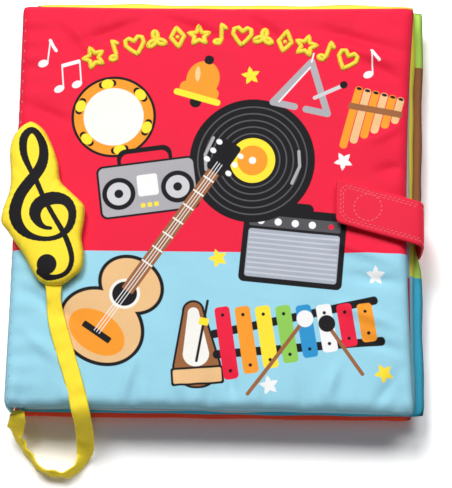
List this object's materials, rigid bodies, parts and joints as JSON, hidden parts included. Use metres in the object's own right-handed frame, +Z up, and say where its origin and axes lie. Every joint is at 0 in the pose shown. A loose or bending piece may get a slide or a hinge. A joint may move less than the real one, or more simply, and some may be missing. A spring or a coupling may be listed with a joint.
{
  "type": "sound book",
  "caption": "Closed soft cloth book with padded covers and leaves, a closing strap, a stuffed clef charm on a ribbon and a push-button sound box in a back cover pocket.",
  "frame": {"origin": "on the surface that the book lies on, under the middle of the closed book's box, without the ribbon and charm", "axes": "+X from the spine to the fore edge, +Y from the foot to the head of the cover, +Z up from the back cover to the front cover"},
  "size_m": [0.2165, 0.2522, 0.0418],
  "materials": {
    "cover_cloth": "printed satin-weave polyester, padded",
    "leaf_cloth": "printed polyester, padded",
    "back_cloth": "printed polyester, padded",
    "strap_cloth": "double layer polyester, topstitched",
    "loop_tape": "brushed loop tape",
    "hook_tape": "hook tape",
    "white_tape": "hook-and-loop tape",
    "charm_cloth": "printed polyester, stuffed",
    "ribbon_cloth": "folded and stitched cloth ribbon",
    "box_plastic": "moulded, fine texture",
    "door_plastic": "moulded, fine texture",
    "button_plastic": "moulded, glossy",
    "screw_steel": "zinc plated",
    "cell_steel": "pressed steel can",
    "magnet_steel": "plated",
    "contact_brass": "stamped sheet",
    "speaker_plastic": "frame and paper cone",
    "board_resin": "lacquered board",
    "chip_resin": "sealed resin",
    "dome_rubber": "silicone"
  },
  "bodies": {
    "page_block": {"spine": "cover_cloth", "pages": "leaf_cloth", "tether_ribbon": "ribbon_cloth", "clef_charm": "charm_cloth"},
    "front_cover_board": {"front_cover": "cover_cloth", "cover_loop_disc": "loop_tape"},
    "back_cover_board": {"back_cover": "back_cloth", "closure_strap": "strap_cloth", "strap_hook_disc": "hook_tape", "pocket_loop_tape": "white_tape", "pocket_hook_tape": "white_tape", "sound_box_base": "box_plastic", "sound_box_lid": "box_plastic", "case_screw_1": "screw_steel", "case_screw_2": "screw_steel", "case_screw_3": "screw_steel", "case_screw_4": "screw_steel", "cell_door": "door_plastic", "cell_door_screw": "screw_steel", "button_cell_1": "cell_steel", "button_cell_2": "cell_steel", "button_cell_3": "cell_steel", "contact_plate_positive": "contact_brass", "contact_plate_negative": "contact_brass", "speaker": "speaker_plastic", "speaker_magnet": "magnet_steel", "circuit_board": "board_resin", "sound_chip": "chip_resin", "button_dome": "dome_rubber"},
    "button": {"push_button": "button_plastic"}
  },
  "joints": [
    {"name": "front_cover_hinge", "type": "hinge", "parent": "page_block", "child": "front_cover_board", "pos_m": [-0.10465, 0, 0.03025], "axis": [0, -1, 0], "range_deg": [0, 180], "deforming": ["closure_strap", "tether_ribbon", "clef_charm", "strap_hook_disc"]},
    {"name": "back_cover_hinge", "type": "hinge", "parent": "page_block", "child": "back_cover_board", "pos_m": [-0.10465, 0, 0.006], "axis": [0, 1, 0], "range_deg": [0, 180]},
    {"name": "button_press", "type": "slide", "parent": "back_cover_board", "child": "button", "axis": [0, 0, -1], "range_m": [0, 0.0012], "stiffness_N_per_m": 400, "deforming": ["button_dome"]}
  ]
}
